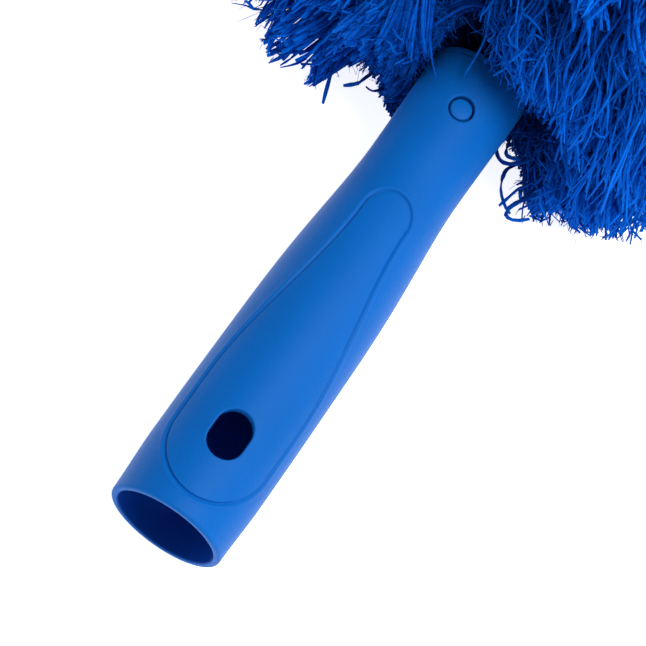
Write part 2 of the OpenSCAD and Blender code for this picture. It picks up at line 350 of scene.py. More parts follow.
def make_piece(name, verts, faces, material, body, nodes, uv=None):
    """A mesh piece from points in the brush's frame and one array of faces for each size."""
    mesh = bpy.data.meshes.new(name)
    mesh.vertices.add(len(verts))
    mesh.vertices.foreach_set("co", place(verts).astype(np.float32).ravel())
    faces = [f for f in faces if len(f)]
    sizes = np.concatenate([np.full(len(f), f.shape[1]) for f in faces])
    mesh.loops.add(int(sizes.sum()))
    corners = np.concatenate([f.ravel() for f in faces])
    mesh.loops.foreach_set("vertex_index", corners.astype(np.int32))
    mesh.polygons.add(len(sizes))
    mesh.polygons.foreach_set("loop_start", (np.cumsum(sizes) - sizes).astype(np.int32))
    mesh.polygons.foreach_set("use_smooth", np.ones(len(sizes), bool))
    if uv is not None:
        layer = mesh.uv_layers.new(name="OFBake")
        places = np.concatenate([u.reshape(-1, 2) for u in uv])
        layer.data.foreach_set("uv", places.astype(np.float32).ravel())
    mesh.update(calc_edges=True)
    mesh.validate()
    if uv is None:
        solid = bmesh.new()
        solid.from_mesh(mesh)
        bmesh.ops.recalc_face_normals(solid, faces=solid.faces)
        solid.to_mesh(mesh)
        solid.free()
    mesh.materials.append(material)
    piece = bpy.data.objects.new(name, mesh)
    bpy.context.collection.objects.link(piece)
    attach(piece, body)
    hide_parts(*nodes)
    return piece


def weld(verts, faces, gap=1e-4):
    """Joins vertices that lie in the same place and drops faces that collapse."""
    keys = np.round(np.asarray(verts) / gap).astype(np.int64)
    _, first, new = np.unique(keys, axis=0, return_index=True, return_inverse=True)
    new = new.reshape(-1)
    kept = []
    for f in faces:
        g = new[np.asarray(f)]
        whole = np.all([g[:, i] != g[:, (i + 1) % g.shape[1]] for i in range(g.shape[1])], axis=0)
        kept.append(g[whole])
    return np.asarray(verts)[first], kept


class Builder:
    """Collects vertices and faces of one piece."""

    def __init__(self):
        self.verts, self.tris, self.quads, self.count = [], [], [], 0

    def add(self, verts, tris=None, quads=None):
        if tris is not None and len(tris):
            self.tris.append(np.asarray(tris) + self.count)
        if quads is not None and len(quads):
            self.quads.append(np.asarray(quads) + self.count)
        self.verts.append(np.asarray(verts, float))
        self.count += len(verts)

    def strip(self, rows):
        """Quads between rows of points, each row a closed ring."""
        n = len(rows[0])
        index = np.arange(len(rows) * n).reshape(len(rows), n)
        low, high = index[:-1], index[1:]
        quads = np.stack([low, np.roll(low, -1, 1), np.roll(high, -1, 1), high], -1)
        self.add(np.concatenate(rows), quads=quads.reshape(-1, 4))

    def fan(self, ring, centre):
        """Triangles from a ring to its centre."""
        n = len(ring)
        k = np.arange(n)
        self.add(np.vstack([ring, [centre]]), tris=np.stack([k, (k + 1) % n, np.full(n, n)], -1))

    def result(self):
        verts = np.concatenate(self.verts)
        tris = np.concatenate(self.tris) if self.tris else np.zeros((0, 3), int)
        quads = np.concatenate(self.quads)
        return weld(verts, [tris, quads])


# ------------ handle

COLUMNS = 144
END_ROUND = 0.25
ANGLES = np.linspace(-math.pi, math.pi, COLUMNS + 1)
FLAT_R = 17.0  # the radius at which the wall is unrolled flat


def outer_r(s):
    """Outer radius of the handle at a distance from the mouth, as the CAD model has it."""
    taper = np.maximum(0, s - TAPER_FROM) / (HANDLE_LEN - WAIST_BACK - TAPER_FROM)
    return (GRIP_R - MOUTH_DRAW * (1 - smooth_step(s / MOUTH_RUN))
            - RELIEF * smooth_step((s - RELIEF_FROM) / RELIEF_RUN)
            - (GRIP_R - RELIEF - WAIST_R) * smooth_step(taper ** TAPER_POWER)
            + FLARE * smooth_step((s - HANDLE_LEN + WAIST_BACK) / WAIST_BACK))


PANEL_FROM, PANEL_TO, PANEL_WIDE, PANEL_NARROW, PANEL_ROUND = 5.8, 111.2, 14.5, 7.0, 17.9
FLANK_RUN = 15

# The channel round the panel: distances out of the teardrop's edge, and the faint rise beside it
GROOVE_DEPTH, PANEL_SINK = 0.7, 0.15
CHANNEL_OUT, CHANNEL_IN, OUTER_SLOPE, INNER_SLOPE = 0.9, -0.1, 1.0, 0.4
EDGE_RISE, RISE_AT, RISE_WIDTH = 0.1, 1.3, 0.35


def panel_outline(count):
    """The teardrop's outline on the unrolled handle, evenly spaced, counterclockwise."""
    wide_s, narrow_s = PANEL_FROM + PANEL_ROUND, PANEL_TO - PANEL_NARROW
    a = np.radians(np.linspace(0, 90, 60))
    round_end = np.stack([wide_s - PANEL_ROUND * np.cos(a), PANEL_WIDE * np.sin(a)], -1)
    s = np.linspace(wide_s, narrow_s, 160)[1:]
    blend = smooth_step((s - wide_s - FLANK_RUN) / (narrow_s - wide_s - FLANK_RUN))
    flank = np.stack([s, PANEL_NARROW + (PANEL_WIDE - PANEL_NARROW) * (1 - blend)], -1)
    tip = np.stack([narrow_s + PANEL_NARROW * np.sin(a), PANEL_NARROW * np.cos(a)], -1)[1:]
    half = np.concatenate([round_end, flank, tip])
    whole = np.concatenate([half, (half * [1, -1])[::-1][1:-1]])
    flat = np.stack([np.arcsin(whole[:, 1] / outer_r(whole[:, 0])) * FLAT_R, whole[:, 0]], -1)
    closed = np.vstack([flat, flat[:1]])
    length = np.concatenate([[0], np.cumsum(np.linalg.norm(np.diff(closed, axis=0), axis=1))])
    at = np.linspace(0, length[-1], count, endpoint=False)
    return np.stack([np.interp(at, length, closed[:, i]) for i in (0, 1)], -1)


def outward(ring):
    """Unit normals of a closed outline, pointing out of it."""
    tangent = np.roll(ring, -1, 0) - np.roll(ring, 1, 0)
    normal = np.stack([tangent[:, 1], -tangent[:, 0]], -1)
    normal /= np.linalg.norm(normal, axis=1, keepdims=True)
    area = np.sum(ring[:, 0] * np.roll(ring[:, 1], -1) - np.roll(ring[:, 0], -1) * ring[:, 1])
    return normal if area > 0 else -normal


def inside(points, ring):
    """Which points lie inside a closed outline."""
    x, y = points[:, 0, None], points[:, 1, None]
    a, b = ring, np.roll(ring, -1, 0)
    crosses = (a[:, 1] > y) != (b[:, 1] > y)
    span = np.where(a[:, 1] == b[:, 1], 1e-12, b[:, 1] - a[:, 1])
    hit = x < (b[:, 0] - a[:, 0]) * (y - a[:, 1]) / span + a[:, 0]
    return np.sum(crosses & hit, axis=1) % 2 == 1


def distance_to(points, ring):
    """Distance from each point to the nearest point of a dense outline."""
    out = np.empty(len(points))
    for i in range(0, len(points), 4000):
        out[i:i + 4000] = np.min(np.linalg.norm(points[i:i + 4000, None] - ring, axis=2), axis=1)
    return out


def groove(d):
    """How far the surface lies below the grip at a distance outside (+) the teardrop's edge."""
    outer = GROOVE_DEPTH * smooth_step((CHANNEL_OUT - d) / OUTER_SLOPE)
    inner = GROOVE_DEPTH - (GROOVE_DEPTH - PANEL_SINK) * smooth_step((CHANNEL_IN - d) / INNER_SLOPE)
    rise = EDGE_RISE * np.exp(-((d - RISE_AT) / RISE_WIDTH) ** 2)
    return np.where(d > CHANNEL_IN, outer, inner) - rise


def stadium(s, width, length, grow, count):
    """Evenly spaced (across, along) points of a round-ended hole's outline, grown by a distance."""
    half, r = (length - width) / 2, width / 2 + grow
    a = np.radians(np.linspace(-90, 90, 60))
    cap = np.stack([r * np.sin(a), half + r * np.cos(a)], -1)
    loop = np.concatenate([cap, -cap, cap[:1]])
    far = np.concatenate([[0], np.cumsum(np.linalg.norm(np.diff(loop, axis=0), axis=1))])
    at = np.linspace(0, far[-1], count, endpoint=False)
    return np.stack([np.interp(at, far, loop[:, i]) for i in (0, 1)], -1) + [0, s]


# Holes: place, width, length, edge rounding, points round. The steps are distances from an edge
BUTTON_HOLE = 2 * (BUTTON_R + BUTTON_GAP)
HOLES = {"lock": (HOLE_S, HOLE_W, HOLE_L, 0.45, 96),
         "button": (BUTTON_S, BUTTON_HOLE, BUTTON_HOLE, 0.5, 72)}
EDGE_STEPS = (0, 0.03, 0.09, 0.18, 0.3, 0.45, 0.7, 1.0)
GROOVE_STEPS = (-1.4, -1.0, -0.7, -0.55, -0.43, -0.32, -0.21, -0.1, 0.05, 0.2, 0.35, 0.5, 0.65, 0.8,
                0.95, 1.1, 1.25, 1.4, 1.6, 1.8, 2.0, 2.3)
CUT_MARGIN = 0.9


def hole_ring(name, grow, radius):
    """A hole's outline, grown, on the unrolled surface of that radius."""
    s, width, length, _, count = HOLES[name]
    ring = stadium(s, width, length, grow, count)
    r = radius(ring[:, 1])
    return np.stack([np.arcsin(np.clip(ring[:, 0] / r, -1, 1)) * FLAT_R, ring[:, 1]], -1)


def fillet_drop(d, r):
    """How far an edge rounded by r lies below the surface at a distance from the hole."""
    return r - math.sqrt(max(0.0, r * r - (r - d) ** 2)) if d < r else 0.0


def wrap(points, radius, drop=0):
    """Rolls points of the unrolled surface round the handle's axis."""
    angle, s = points[:, 0] / FLAT_R, points[:, 1]
    r = radius(s) - drop
    return np.stack([s, r * np.sin(angle), r * np.cos(angle)], -1)


def sheet(builder, radius, drop, grid, border, cuts, keep_within=None):
    """Triangulates part of the unrolled wall round some cut outlines, and rolls it up."""
    keep = np.ones(len(grid), bool)
    for cut in cuts:
        keep &= border | ((distance_to(grid, cut) > CUT_MARGIN) & ~inside(grid, cut))
    if keep_within is not None:
        keep &= inside(grid, keep_within) & (distance_to(grid, keep_within) > CUT_MARGIN)
    loops = list(cuts) + ([keep_within] if keep_within is not None else [])
    points = np.concatenate([grid[keep], *loops])
    start, edges = int(keep.sum()), []
    for loop in loops:
        k = np.arange(len(loop))
        edges += list(zip((start + k).tolist(), (start + (k + 1) % len(loop)).tolist()))
        start += len(loop)
    out, _, tris, _, _, _ = delaunay_2d_cdt([Vector(p) for p in points], edges, [], 0, 1e-7)
    out = np.array([tuple(p) for p in out])
    tris = np.array([tuple(t) for t in tris])
    middle = out[tris].mean(1)
    wanted = np.ones(len(tris), bool)
    for cut in cuts:
        wanted &= ~inside(middle, cut)
    if keep_within is not None:
        wanted &= inside(middle, keep_within)
    builder.add(wrap(out, radius, drop), tris=tris[wanted])


def unrolled_grid(rows):
    """Points of the unrolled wall, and which of them lie on its border."""
    grid = np.stack(np.meshgrid(ANGLES * FLAT_R, rows), -1).reshape(-1, 2)
    border = (np.abs(grid[:, 1] - rows[0]) < 1e-6) | (np.abs(grid[:, 1] - rows[-1]) < 1e-6)
    return grid, border | (np.abs(np.abs(grid[:, 0]) - math.pi * FLAT_R) < 1e-6)


def outer_skin(builder, rows):
    """The handle's outside: plain wall, teardrop groove, sunk panel and rounded hole edges."""
    outline = panel_outline(640)
    normal = outward(outline)
    grid, border = unrolled_grid(rows)
    groove_rings = [outline + normal * d for d in GROOVE_STEPS]
    button_rings = [hole_ring("button", d, outer_r) for d in EDGE_STEPS]
    lock_rings = [hole_ring("lock", d, outer_r) for d in EDGE_STEPS]
    sheet(builder, outer_r, 0, grid, border, [groove_rings[-1], button_rings[-1]])
    nothing = np.zeros(len(grid), bool)
    sheet(builder, outer_r, PANEL_SINK, grid, nothing, [lock_rings[-1]], groove_rings[0])
    depth = groove(np.array(GROOVE_STEPS))
    depth[0], depth[-1] = PANEL_SINK, 0
    builder.strip([wrap(ring, outer_r, d) for ring, d in zip(groove_rings, depth)])
    for rings, sink, soft in ((button_rings, 0, HOLES["button"][3]),
                              (lock_rings, PANEL_SINK, HOLES["lock"][3])):
        builder.strip([wrap(ring, outer_r, sink + fillet_drop(d, soft))
                       for ring, d in zip(rings, EDGE_STEPS)])


def inner_skin(builder, radius, rows, hole):
    """A bore's wall with one hole through it."""
    grid, border = unrolled_grid(rows)
    sheet(builder, radius, 0, grid, border, [hole_ring(hole, 0, radius)])


def ring_at(radius, s):
    """A ring of the handle's columns at one radius and distance."""
    a = ANGLES[:-1]
    return np.stack([np.full(len(a), s), radius * np.sin(a), radius * np.cos(a)], -1)


def arc_points(s0, r0, radius, start, end, steps):
    """(distance, radius) points of an arc, angles in degrees from the +distance direction."""
    a = np.radians(np.linspace(start, end, steps))
    return [(s0 + radius * math.cos(t), r0 + radius * math.sin(t)) for t in a]


def constant(radius):
    return lambda s: np.full(np.shape(s), radius, float)


def make_handle(material):
    """The handle: outside, both bores, rounded ends, the web and the holes' walls."""
    builder = Builder()
    outer_skin(builder, np.linspace(LIP, HANDLE_LEN - END_ROUND, 196))
    inner_skin(builder, constant(SOCKET_R), np.linspace(LIP_IN, SOCKET_DEPTH, 50), "lock")
    neck_rows = np.linspace(SOCKET_DEPTH + WEB, HANDLE_LEN, 60)
    inner_skin(builder, constant(NECK_BORE_R), neck_rows, "button")

    mouth_r = float(outer_r(LIP))
    mouth = arc_points(LIP_IN, SOCKET_R + LIP_IN, LIP_IN, 270, 180, 7)
    mouth += arc_points(LIP, mouth_r - LIP, LIP, 180, 90, 9)
    builder.strip([ring_at(r, s) for s, r in mouth])
    top_r = float(outer_r(HANDLE_LEN - END_ROUND))
    top = arc_points(HANDLE_LEN - END_ROUND, top_r - END_ROUND, END_ROUND, 90, 0, 5)
    top.append((HANDLE_LEN, NECK_BORE_R))
    builder.strip([ring_at(r, s) for s, r in top])
    for s, r in ((SOCKET_DEPTH, SOCKET_R), (SOCKET_DEPTH + WEB, NECK_BORE_R)):
        builder.strip([ring_at(r * k, s) for k in (1, 0.66, 0.33)])
        builder.fan(ring_at(r * 0.33, s), (s, 0, 0))

    for name, bore_r in (("lock", SOCKET_R), ("button", NECK_BORE_R)):
        drop = (PANEL_SINK if name == "lock" else 0.0) + HOLES[name][3]
        high = wrap(hole_ring(name, 0, outer_r), outer_r, drop)
        low = wrap(hole_ring(name, 0, constant(bore_r)), constant(bore_r))
        builder.strip([high * (1 - k) + low * k for k in (0, 0.33, 0.66, 1)])
    verts, faces = builder.result()
    make_piece("handle_moulding", verts, faces, material, BODY, ["handle"])


BUTTON_SOFT, BUTTON_ARC, DOME_DROP, POLE_R = 0.45, 78, 0.06, 0.02


def make_button(material):
    """The lock button: spigot, collar and domed head, turned about its axis."""
    top = float(outer_r(np.array(BUTTON_S))) - BUTTON_RECESS
    dome = top - math.sqrt(top ** 2 - BUTTON_R ** 2)
    rim, rim_z = BUTTON_R - BUTTON_SOFT, top - dome - BUTTON_SOFT
    collar_top = COLLAR_BASE + COLLAR_T
    profile = [(SPIGOT_R, COLLAR_BASE - SPIGOT_LEN), (SPIGOT_R, COLLAR_BASE), (COLLAR_R, COLLAR_BASE),
               (COLLAR_R, collar_top), (BUTTON_R, collar_top)]
    profile += [(rim + BUTTON_SOFT * math.cos(a), rim_z + BUTTON_SOFT * math.sin(a))
                for a in np.radians(np.linspace(0, BUTTON_ARC, 8))]
    dome_r = (BUTTON_R ** 2 + dome ** 2) / (2 * dome)
    edge = profile[-1][0]
    for r in edge * np.linspace(1, 0, 12)[1:]:
        fall = dome_r - math.sqrt(dome_r ** 2 - r ** 2)
        profile.append((max(r, POLE_R), top - DOME_DROP - fall))
    a = np.linspace(0, 2 * math.pi, 72, endpoint=False)
    builder = Builder()
    rows = [np.stack([BUTTON_S + r * np.cos(a), r * np.sin(a), np.full(len(a), z)], -1)
            for r, z in profile]
    builder.strip(rows)
    builder.fan(rows[-1], rows[-1].mean(0))
    builder.fan(rows[0], rows[0].mean(0))
    verts, faces = builder.result()
    make_piece("lock_button_cap", verts, faces, material, BUTTON, ["lock_button"])


COIL_STEPS, COIL_SIDES = 48, 12


def make_spring(material):
    """The coil spring, with closed end turns, built at one length between the pocket floor and the
    button's collar; the real one shortens as the button goes in.
    """
    low, high = POCKET_FLOOR + SPRING_WIRE_R + SPRING_GAP, COLLAR_BASE - SPRING_WIRE_R - SPRING_GAP
    t = np.linspace(0, 1, COIL_STEPS * SPRING_TURNS + 1)
    turn = 2 * math.pi * SPRING_TURNS * t
    rise = t - 0.5 * np.sin(2 * math.pi * t) / (2 * math.pi)
    flat = np.zeros(len(t))
    out = np.stack([np.cos(turn), np.sin(turn), flat], -1)
    line = out * SPRING_R + np.stack([flat + BUTTON_S, flat, low + (high - low) * rise], -1)
    over = unit(np.cross(out, np.gradient(line, axis=0)))
    a = np.linspace(0, 2 * math.pi, COIL_SIDES, endpoint=False)
    rows = [c + SPRING_WIRE_R * (np.cos(a)[:, None] * o + np.sin(a)[:, None] * v)
            for c, o, v in zip(line, out, over)]
    builder = Builder()
    builder.strip(rows)
    for row in (rows[0], rows[-1]):
        builder.fan(row, row.mean(0))
    verts, faces = builder.result()
    spring = make_piece("button_spring_coil", verts, faces, material, BODY,
                        ["button_spring"])
    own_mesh(spring)


# ------------ yarn

RINGS, SIDES = 22, 5
ROOT_R = 2.6
STRAND_GAP, FIBRE_GAP = 0.8, 0.3
PUSH_OVER, PUSH_RUN = 4, 3.4
FLOOR_SOFT = 4.0
FLATNESS = 0.5
rng = np.random.default_rng(11)
DOWN = TO_WORLD @ np.array([0, 0, -1.0])

# How strands wander sideways: shared by the lock or not, waves from and to, share of the drift,
# share of the curl, and the power with which it grows from the root
WANDERS = ((True, 0.4, 1.0, 1.5, 0, 1.5), (True, 1.0, 2.0, 0, 0.8, 1.0),
           (False, 0.5, 1.1, 0.6, 0, 1.5), (False, 1.2, 2.6, 0, 1, 0.9))


def unit(v):
    return v / np.maximum(np.linalg.norm(v, axis=-1, keepdims=True), 1e-9)


def radial(azimuth):
    """Directions square to the axis. Azimuth 0 is the front, and 90 degrees is towards +Y."""
    azimuth = np.asarray(azimuth, float)
    return np.stack([np.zeros_like(azimuth), np.sin(azimuth), np.cos(azimuth)], -1)


def head_outline(t):
    """(distance, radius) of the head's outline, at an angle from the far tip."""
    power = np.where(t < math.pi / 2, TIP_POWER, REAR_POWER)
    reach = np.where(t < math.pi / 2, HEAD_TIP - HEAD_S, HEAD_REAR - HEAD_S)
    return (HEAD_S + reach * np.abs(np.cos(t)) ** (2 / power),
            HEAD_R * np.abs(np.sin(t)) ** (2 / power))


def spline_weights(controls, rings):
    """Weights of a clamped cubic spline's control points at evenly spaced places along it."""
    knots = np.concatenate([np.zeros(3), np.linspace(0, 1, controls - 2), np.ones(3)])
    u = np.linspace(0, 1 - 1e-9, rings)[:, None]
    weights = ((knots[:-1] <= u) & (u < knots[1:])).astype(float)
    for degree in (1, 2, 3):
        span_a = knots[degree:-1] - knots[:-degree - 1]
        span_b = knots[degree + 1:] - knots[1:-degree]
        left = np.where(span_a > 0, (u - knots[:-degree - 1]) / np.where(span_a > 0, span_a, 1), 0)
        right = np.where(span_b > 0, (knots[degree + 1:] - u) / np.where(span_b > 0, span_b, 1), 0)
        weights = left * weights[:, :-1] + right * weights[:, 1:]
    return weights


def clear_handle(points, gap):
    """Pushes points out of the handle and the plug, and fades the push out past the plug's end."""
    s = points[..., 0]
    r = np.hypot(points[..., 1], points[..., 2])
    wall = outer_r(np.clip(s, 0, HANDLE_LEN)) + gap
    wall = wall * smooth_step((PLUG_END + PUSH_OVER - s) / PUSH_RUN)
    scale = np.maximum(wall, r) / np.maximum(r, 1e-6)
    out = points.copy()
    out[..., 1:] *= scale[..., None]
    return out


def rest_on_floor(points, gap):
    """Presses what would hang below the floor into a soft layer on it."""
    world = place(points)
    z = (world[..., 2] / MM - gap) / FLOOR_SOFT
    world[..., 2] = (gap + FLOOR_SOFT * np.logaddexp(0, np.clip(z, -60, 60))) * MM
    return unplace(world)


def settle(points, gap):
    """Keeps points clear of the handle by a gap, and above the floor."""
    return rest_on_floor(clear_handle(points, gap), gap)


def wander(count, rings, waves, size, power):
    """Smooth random sideways drift along each strand, zero at the root."""
    u = np.linspace(0, 1, rings)
    drift = np.zeros((count, rings, 3))
    for k in (1, 2):
        phase = rng.uniform(0, 2 * math.pi, (count, 1, 3))
        way = rng.normal(0, 1, (count, 1, 3)) / k
        drift += way * np.sin(u[None, :, None] * 2 * math.pi * waves[:, None, None] * k + phase)
    return drift * size[:, None, None] * (u ** power)[None, :, None]


# How far back the yarn reaches, against Y: low beside the handle, and over the handle's front. The
# rear of the head leans, so a point counts as further along the axis the higher it is.
LEAN = 0.43
LOW_EDGE = ((-80, 168), (-64, 154), (-54, 146), (-46, 143.5), (-39, 142), (-31, 138), (-28.5, 137.5),
            (-26.8, 143), (-25, 148.5), (-22.5, 152), (-17, 155), (0, 155), (15, 139.5), (18.3, 142),
            (21.6, 144.2), (24.3, 147), (29.5, 147.5), (32.8, 146.6), (35.3, 145.5), (36, 138),
            (37.5, 135.3), (40.5, 132), (45, 131.3), (52.5, 131), (57.3, 133.3), (58.6, 137.3),
            (66, 138.7), (80, 143))
TOP_EDGE = ((-80, 168), (-60, 150), (-45, 150), (-30, 155), (-22, 162), (-15, 163), (-6, 164),
            (5, 166.5), (6.5, 173), (12, 174), (12.6, 154), (18, 152), (22, 148.5), (30, 147),
            (41, 145), (50, 138), (60, 134), (80, 142))
TOP_FROM, UNDER_TO = 6, 168

# How much of its full tone a low strand keeps, against Y: the yarn is in shade beside the handle
UNDER_SHADE = ((-38, 1), (-30, 0.6), (-24, 0.4), (14, 0.4), (22, 0.65), (32, 1))


def trim(paths, ragged):
    """Cuts each strand where it would pass the rear edge. Returns paths and the tone each keeps, with
    painted shade on low strands beside the handle.
    """
    s, y, z = paths[..., 0], paths[..., 1], paths[..., 2]
    low, top = (np.interp(y, *np.array(edge, float).T) for edge in (LOW_EDGE, TOP_EDGE))
    edge = np.where(z > TOP_FROM, top, low) + ragged[:, None]
    past = s + LEAN * z < edge
    past[:, :RINGS // 3] = False
    first = np.where(past.any(1), past.argmax(1), RINGS)
    ends = np.clip((first - 0.6) / (RINGS - 1), 0.25, 1)
    kept = resample(paths, ends)
    tip = kept[:, -1]
    under = (tip[:, 2] < TOP_FROM) & (tip[:, 0] + LEAN * tip[:, 2] < UNDER_TO)
    beside = np.interp(tip[:, 1], *np.array(UNDER_SHADE).T)
    return kept, ends * np.where(under, beside, 1)


def resample(paths, ends):
    """Keeps each path up to a share of its length."""
    at = np.linspace(0, 1, RINGS)[None, :] * ends[:, None] * (RINGS - 1)
    low = np.clip(at.astype(int), 0, RINGS - 2)
    part = (at - low)[..., None]
    row = np.arange(len(paths))[:, None]
    return paths[row, low] * (1 - part) + paths[row, low + 1] * part


def strand_paths(controls, drift, curl, ends, ragged=2.0):
    """Paths through each strand's control points, with slow drift, close curl and uneven ends."""
    count, points = controls.shape[:2]
    paths = resample(spline_weights(points, RINGS) @ controls, ends)
    for shared, low, high, by_drift, by_curl, power in WANDERS:
        many = 1 if shared else count
        size = (drift * by_drift + curl * by_curl)[:many]
        paths += wander(many, RINGS, rng.uniform(low, high, many), size, power)
    paths = clear_handle(settle(paths, STRAND_GAP), STRAND_GAP)
    if ragged is None:
        return paths, np.ones(count)
    return trim(paths, rng.uniform(-1, 1, count) * ragged)


def sweep(paths, width, thick, sides, reach=None):
    """Flattened tubes along the paths, with blunt ends: vertices, walls, caps and map places.

    The map's U runs from root to tip, times the reach, so a strand cut short or held in painted shade
    stays dark, and its V picks the strand's tone."""
    count, rings = paths.shape[:2]
    tangent = unit(np.gradient(paths, axis=1))
    away = unit(paths - np.array([HEAD_S, 0, 0]))
    side = unit(np.cross(tangent, away) + 1e-7)
    over = np.cross(side, tangent)
    lay, twist = rng.normal(0, 0.5, count)[:, None], rng.normal(0, 1.0, count)[:, None]
    turn = lay + twist * np.linspace(0, 1, rings)
    wide = side * np.cos(turn)[..., None] + over * np.sin(turn)[..., None]
    flat = -side * np.sin(turn)[..., None] + over * np.cos(turn)[..., None]
    a = 2 * math.pi * np.arange(sides) / sides
    swell = np.ones(rings)
    swell[0], swell[-1] = 0.8, 0.75
    rough = 1 + 0.1 * rng.normal(0, 1, (count, rings))
    w = (width[:, None] * swell * rough)[..., None, None] / 2
    h = (thick[:, None] * swell * rough)[..., None, None] / 2
    verts = (paths[:, :, None] + wide[:, :, None] * np.cos(a)[:, None] * w
             + flat[:, :, None] * np.sin(a)[:, None] * h).reshape(-1, 3)
    index = np.arange(count * rings * sides).reshape(count, rings, sides)
    low, high = index[:, :-1], index[:, 1:]
    walls = np.stack([low, np.roll(low, -1, 2), np.roll(high, -1, 2), high], -1).reshape(-1, 4)
    caps = np.concatenate([index[:, 0, ::-1], index[:, -1]])
    along = np.linspace(0, 1, rings) * (np.ones(count) if reach is None else reach)[:, None]
    tone = rng.integers(0, TONES, count)
    shape = low.shape
    low_u = np.broadcast_to(along[:, :-1, None], shape)
    high_u = np.broadcast_to(along[:, 1:, None], shape)
    around = np.broadcast_to(np.arange(sides) / sides * 0.9 + 0.03, shape)
    low_v = (tone[:, None, None] + around) / TONES
    high_v = low_v + 0.9 / sides / TONES
    wall_uv = np.stack([np.stack([low_u, low_v], -1), np.stack([low_u, high_v], -1),
                        np.stack([high_u, high_v], -1), np.stack([high_u, low_v], -1)], -2)
    cap_v = (tone[:, None] + 0.5 + 0.3 * np.sin(a)) / TONES
    cap_u = np.broadcast_to(0.012 * (1 + np.cos(a)), cap_v.shape)
    cap_uv = np.concatenate([np.stack([cap_u, cap_v], -1),
                             np.stack([along[:, -1:] - cap_u, cap_v], -1)])
    return verts, walls, caps, wall_uv, cap_uv


# Combed locks on the rear of the head, each a fan between two edge guides of (distance, Y, height)
# points past its root. They are: turn, root, edges, locks, strands a lock, width, curl, spread
COMBS = (
    (2, 178, ((170, 32, 42), (163, 38, 33), (157, 35, 21), (151, 38, 10), (146, 42, -1)),
     ((171, 26, 52), (163, 33, 47), (156, 26.5, 36), (152.3, 19.6, 22), (150, 12.6, 10)),
     15, 9, 1.3, 0.12, 2.2),
    (1, 168, ((168, 8, 30), (163, 18, 34), (157, 25, 20), (152, 26, 6), (149, 27, -8)),
     ((169, 4, 30), (164, 14, 36), (158, 20, 26), (153, 19, 14), (149, 17, 2)),
     6, 10, 1.15, 0.25, 2.4),
    (2, 180, ((178, 13, 46), (170, 11, 42), (164, 7, 30), (158, 3, 21), (153, 0, 17)),
     ((182, 0, 60), (176, -8, 58), (167, -16, 46), (158, -21, 31), (150, -25, 16)),
     14, 14, 0.8, 2.2, 4.0),
    (3, 186, ((184, 0, 58), (178, -10, 60), (168, -18, 48), (157, -24, 28), (150, -27, 9)),
     ((198, -20, 62), (192, -34, 64), (182, -46, 52), (168, -56, 28), (158, -60, 5)),
     15, 13, 0.8, 2.6, 4.5),
    (3, 184, ((180, -10, 20), (174, -20, 22), (164, -28, 6), (156, -30, -16), (151, -31, -33)),
     ((192, -26, 30), (188, -44, 34), (178, -57, 16), (168, -63, -12), (161, -65, -33)),
     13, 13, 0.8, 2.4, 4.2),
)
# Single strands that stray from the rear: turn, width, tone kept (below 1 as painted shade for the
# low strands under the rear), points
STRAYS = (
    (2, 1.0, 1.0, ((172, 2, 2), (172, 12, 38), (166, 11.6, 37), (160.5, 5.8, 28), (158, 5, 21),
                   (151.2, 4.8, 15.9))),
    (2, 0.9, 1.0, ((172, 2, 2), (170, 20, 44), (160, 27, 40), (153, 22, 24), (150, 13.5, 14),
                   (147.5, 10.5, 13))),
    (1, 0.7, 0.8, ((166, 2, 2), (166, 12, 20), (164, 17, 24), (161, 10, 22), (163, 4, 20),
                   (164, -3, 22))),
    (1, 1.3, 0.5, ((166, 2, -2), (164, -8, -4), (157, -13, -6), (151, -14, -6), (147, -16, -6),
                    (148, -21, -6), (154, -24, -6))),
    (1, 1.3, 0.5, ((166, 2, -2), (163, -12, -6), (158, -16, -6), (152, -16, -6), (149, -18, -6),
                    (152, -22, -6))),
    (2, 1.3, 0.5, ((172, 2, 2), (164, -16, -8), (158, -16, -8), (154, -19, -8), (154, -23, -8),
                    (159, -24, -8))),
    (2, 1.3, 0.6, ((172, 2, 2), (162, -26, -8), (155, -24, -10), (151, -21, -10), (148, -19.5, -10),
                   (143, -21, -10), (139, -25, -10), (138, -28, -10))),
    (2, 1.6, 0.6, ((172, 2, 2), (160, -28, -8), (153, -28, -10), (148, -27.5, -10), (144, -25, -10),
                   (138, -24, -10))),
    (3, 1.6, 0.7, ((184, 2, 2), (165, -32, -8), (150, -31, -12), (144, -28, -12), (139, -26, -12),
                    (136, -29, -12), (141, -33, -12))),
    (3, 1.5, 0.6, ((184, 2, 2), (170, 30, -12), (160, 33, -22), (157, 38, -22), (150, 37.5, -22),
                    (144, 35, -22), (138, 33, -22))),
    (2, 1.3, 0.55, ((172, 2, 2), (160, 25, -10), (152, 26, -15), (146, 28, -15), (143, 31, -15))),
    (1, 1.3, 0.5, ((166, 2, -2), (162, 20, -12), (157, 20, -15), (151, 20, -15), (146, 23, -15),
                   (147, 26, -15))),
)


def gather(paths, widths):
    """One array each of paths, widths and kept shares from the locks' own."""
    return (np.concatenate([p for p, _ in paths]), np.concatenate(widths),
            np.concatenate([e for _, e in paths]))


